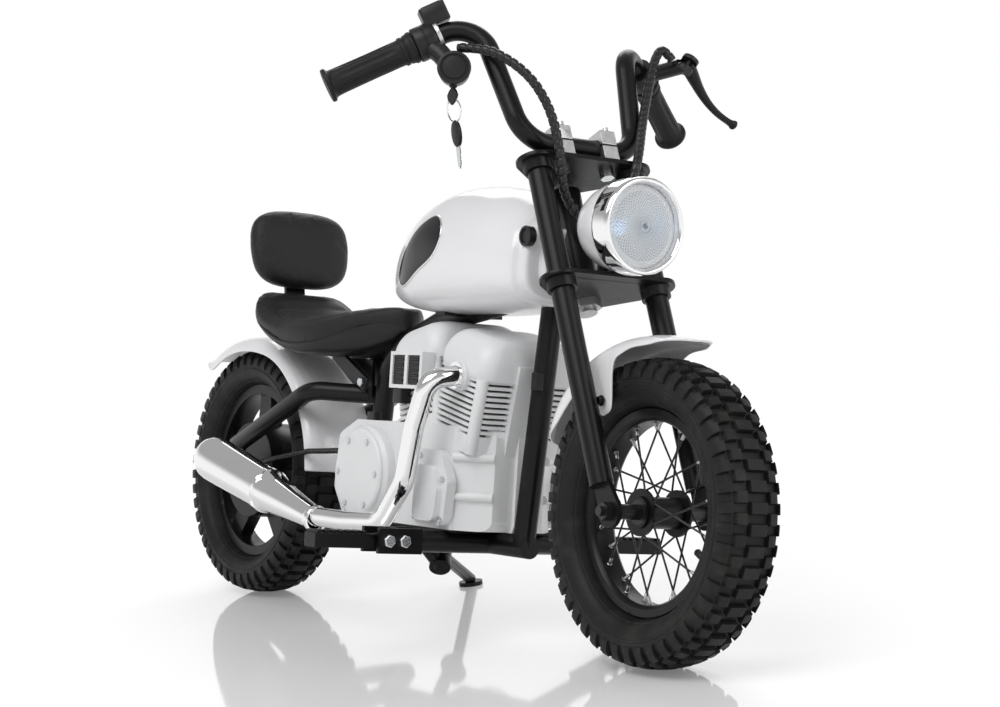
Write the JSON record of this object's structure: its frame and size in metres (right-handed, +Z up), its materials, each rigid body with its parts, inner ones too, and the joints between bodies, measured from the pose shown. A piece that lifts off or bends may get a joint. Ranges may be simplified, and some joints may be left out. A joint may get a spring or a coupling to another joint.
{
  "type": "kids electric motorbike",
  "caption": "Chopper-style electric ride-on motorbike for children: tube frame, dummy engine, padded seat with backrest, round headlight, parked on its side stand.",
  "frame": {"origin": "on the ground under the middle of the parked bike", "axes": "+X to the front of the bike, +Y to the rider's left, +Z up"},
  "size_m": [1.162, 0.5932, 0.7076],
  "materials": {
    "black_paint": "satin black powder coat",
    "white_gloss": "gloss white moulding",
    "engine_grey": "satin light grey moulding",
    "chrome": "bright chrome",
    "zinc": "zinc plated",
    "steel": "plain steel",
    "silver": "bead-blasted",
    "tyre": "moulded rubber",
    "grip_rubber": "fluted rubber",
    "loom": "spiral wrap",
    "black_plastic": "fine texture",
    "badge": "gloss black",
    "seat_leather": "soft grained cover",
    "lens": "moulded grid",
    "reflector": "bright dish"
  },
  "bodies": {
    "chassis": {"main_frame": "black_paint", "engine_case_right": "engine_grey", "engine_case_left": "engine_grey", "clutch_cover": "engine_grey", "gear_cover": "engine_grey", "air_box": "engine_grey", "engine_screws": "zinc", "battery_pack": "black_plastic", "motor_controller": "black_plastic", "exhaust_header": "chrome", "exhaust_muffler": "chrome", "tank_shell": "white_gloss", "tank_badges": "badge", "charge_socket": "black_plastic", "seat_base": "black_plastic", "seat_pad": "seat_leather", "backrest_post": "black_paint", "backrest_pad": "seat_leather", "rear_fender": "white_gloss", "rear_axle": "zinc", "motor_stator": "steel", "brake_caliper": "silver", "rear_brake_cable": "loom", "motor_cable": "loom", "headset_bearings": "steel"},
    "steering": {"steering_stem": "steel", "upper_clamp": "black_paint", "lower_clamp": "black_paint", "fork_leg_right": "black_paint", "fork_leg_left": "black_paint", "handlebar": "black_paint", "bar_clamps": "silver", "clamp_bolts": "zinc", "headlight_bowl": "white_gloss", "headlight_bezel": "chrome", "headlight_lens": "lens", "headlight_reflector": "reflector", "headlight_bracket": "black_paint", "front_fender": "white_gloss", "front_axle": "zinc", "throttle_housing": "black_plastic", "left_grip": "grip_rubber", "brake_perch": "black_plastic", "throttle_loom": "loom", "brake_loom": "loom"},
    "front_wheel": {"front_tyre": "tyre", "front_rim": "black_paint", "front_hub": "black_paint", "front_spokes": "steel", "front_bearings": "steel"},
    "rear_wheel": {"rear_tyre": "tyre", "rear_rim": "black_paint", "brake_disc": "steel"},
    "throttle": {"throttle_grip": "grip_rubber"},
    "lever": {"brake_lever": "black_plastic"},
    "key": {"ignition_key": "zinc"},
    "ring": {"spare_key": "zinc"},
    "stand": {"kickstand": "black_paint"},
    "peg_right": {"footpeg_right": "black_paint"},
    "peg_left": {"footpeg_left": "black_paint"}
  },
  "joints": [
    {"name": "steering_turn", "type": "hinge", "parent": "chassis", "child": "steering", "pos_m": [0.26926, -0.00683, 0.37382], "axis": [-0.4067, 0.1899, 0.8936], "range_deg": [-35, 35]},
    {"name": "front_wheel_spin", "type": "hinge", "parent": "steering", "child": "front_wheel", "pos_m": [0.421, -0.05264, 0.1583], "axis": [0, 0.9781, -0.2079], "continuous": true},
    {"name": "rear_wheel_spin", "type": "hinge", "parent": "chassis", "child": "rear_wheel", "pos_m": [-0.421, -0.05264, 0.1583], "axis": [0, 0.9781, -0.2079], "continuous": true},
    {"name": "throttle_twist", "type": "hinge", "parent": "steering", "child": "throttle", "pos_m": [0.14209, -0.10572, 0.66772], "axis": [-0.4352, -0.8474, -0.3042], "range_deg": [0, 65], "stiffness_Nm_per_rad": 0.15, "springref_deg": -8.59},
    {"name": "brake_lever_pull", "type": "hinge", "parent": "steering", "child": "lever", "pos_m": [0.21396, 0.21355, 0.61702], "axis": [0.0583, 0.7103, 0.7014], "range_deg": [0, 18], "stiffness_Nm_per_rad": 1, "springref_deg": -11.46},
    {"name": "key_turn", "type": "hinge", "parent": "steering", "child": "key", "pos_m": [0.18496, -0.0886, 0.62399], "axis": [0, 0.2079, 0.9781], "range_deg": [0, 90]},
    {"name": "ring_swing", "type": "hinge", "parent": "key", "child": "ring", "pos_m": [0.18496, -0.09214, 0.60736], "axis": [0, 0.9781, -0.2079], "range_deg": [-40, 40]},
    {"name": "stand_fold", "type": "hinge", "parent": "chassis", "child": "stand", "pos_m": [-0.049, -0.03015, 0.07173], "axis": [-0.597, 0.5341, 0.5986], "range_deg": [0, 60]},
    {"name": "peg_right_fold", "type": "hinge", "parent": "chassis", "child": "peg_right", "pos_m": [0.116, -0.20863, 0.13625], "axis": [-1, 0, 0], "range_deg": [0, 80]},
    {"name": "peg_left_fold", "type": "hinge", "parent": "chassis", "child": "peg_left", "pos_m": [0.116, 0.0809, 0.07471], "axis": [1, 0, 0], "range_deg": [0, 80]}
  ]
}
